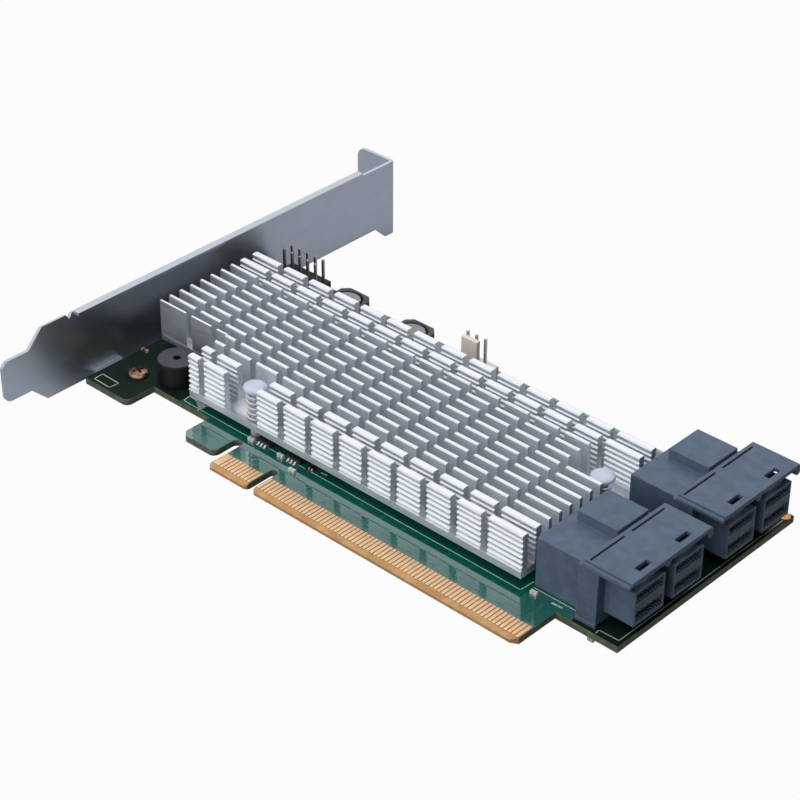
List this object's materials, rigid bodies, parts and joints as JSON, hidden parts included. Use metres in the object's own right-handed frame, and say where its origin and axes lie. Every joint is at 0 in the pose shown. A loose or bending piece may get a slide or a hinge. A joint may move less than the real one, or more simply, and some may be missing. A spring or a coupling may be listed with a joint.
{
  "type": "host bus adapter",
  "caption": "Long expansion card with a finned heat sink along its length, stacked cable ports at the free end, a gold contact edge and a tall folded bracket.",
  "frame": {"origin": "centre of the key notch on the contact edge, at half the board's thickness", "axes": "+X along the card from the bracket to the ports, +Y from the contact edge to the top edge, +Z out of the component side"},
  "size_m": [0.1592, 0.1223, 0.0217],
  "materials": {
    "solder_mask": "satin",
    "gold_plate": "satin",
    "plated_steel": "satin",
    "copper_screw": "satin",
    "heat_sink_metal": "satin",
    "package_laminate": "matte",
    "lid_metal": "satin",
    "soft_pad": "matte",
    "pale_nylon": "satin",
    "spring_steel": "satin",
    "black_plastic": "matte",
    "tinned_pin": "satin",
    "beige_plastic": "matte",
    "ferrite": "matte",
    "port_plastic": "satin",
    "capacitor_body": "matte",
    "resistor_body": "matte",
    "led_lens": "gloss",
    "chip_mould": "matte"
  },
  "bodies": {
    "root": {"circuit_board": "solder_mask", "edge_contacts_top": "gold_plate", "edge_contacts_bottom": "gold_plate", "io_bracket": "plated_steel", "bracket_screws": "copper_screw", "heat_sink": "heat_sink_metal", "controller_substrate": "package_laminate", "controller_lid": "lid_metal", "thermal_pad": "soft_pad", "push_pin_front": "pale_nylon", "push_pin_rear": "pale_nylon", "pin_spring_front": "spring_steel", "pin_spring_rear": "spring_steel", "buzzer_case": "black_plastic", "buzzer_pins": "tinned_pin", "jumper_header_base": "black_plastic", "jumper_header_pins": "tinned_pin", "fan_header_body": "beige_plastic", "fan_header_pins": "tinned_pin", "power_inductor_left": "ferrite", "power_inductor_right": "ferrite", "port_shroud_front": "port_plastic", "port_shroud_rear": "port_plastic", "port_wafer_block_front": "port_plastic", "port_wafer_block_rear": "port_plastic", "port_contacts_front": "gold_plate", "port_contacts_rear": "gold_plate", "port_board_locks": "tinned_pin", "ceramic_capacitors": "capacitor_body", "chip_resistors": "resistor_body", "status_leds": "led_lens", "regulator_chips": "chip_mould", "flash_memory_chip": "chip_mould", "clock_oscillator": "lid_metal"}
  },
  "joints": []
}
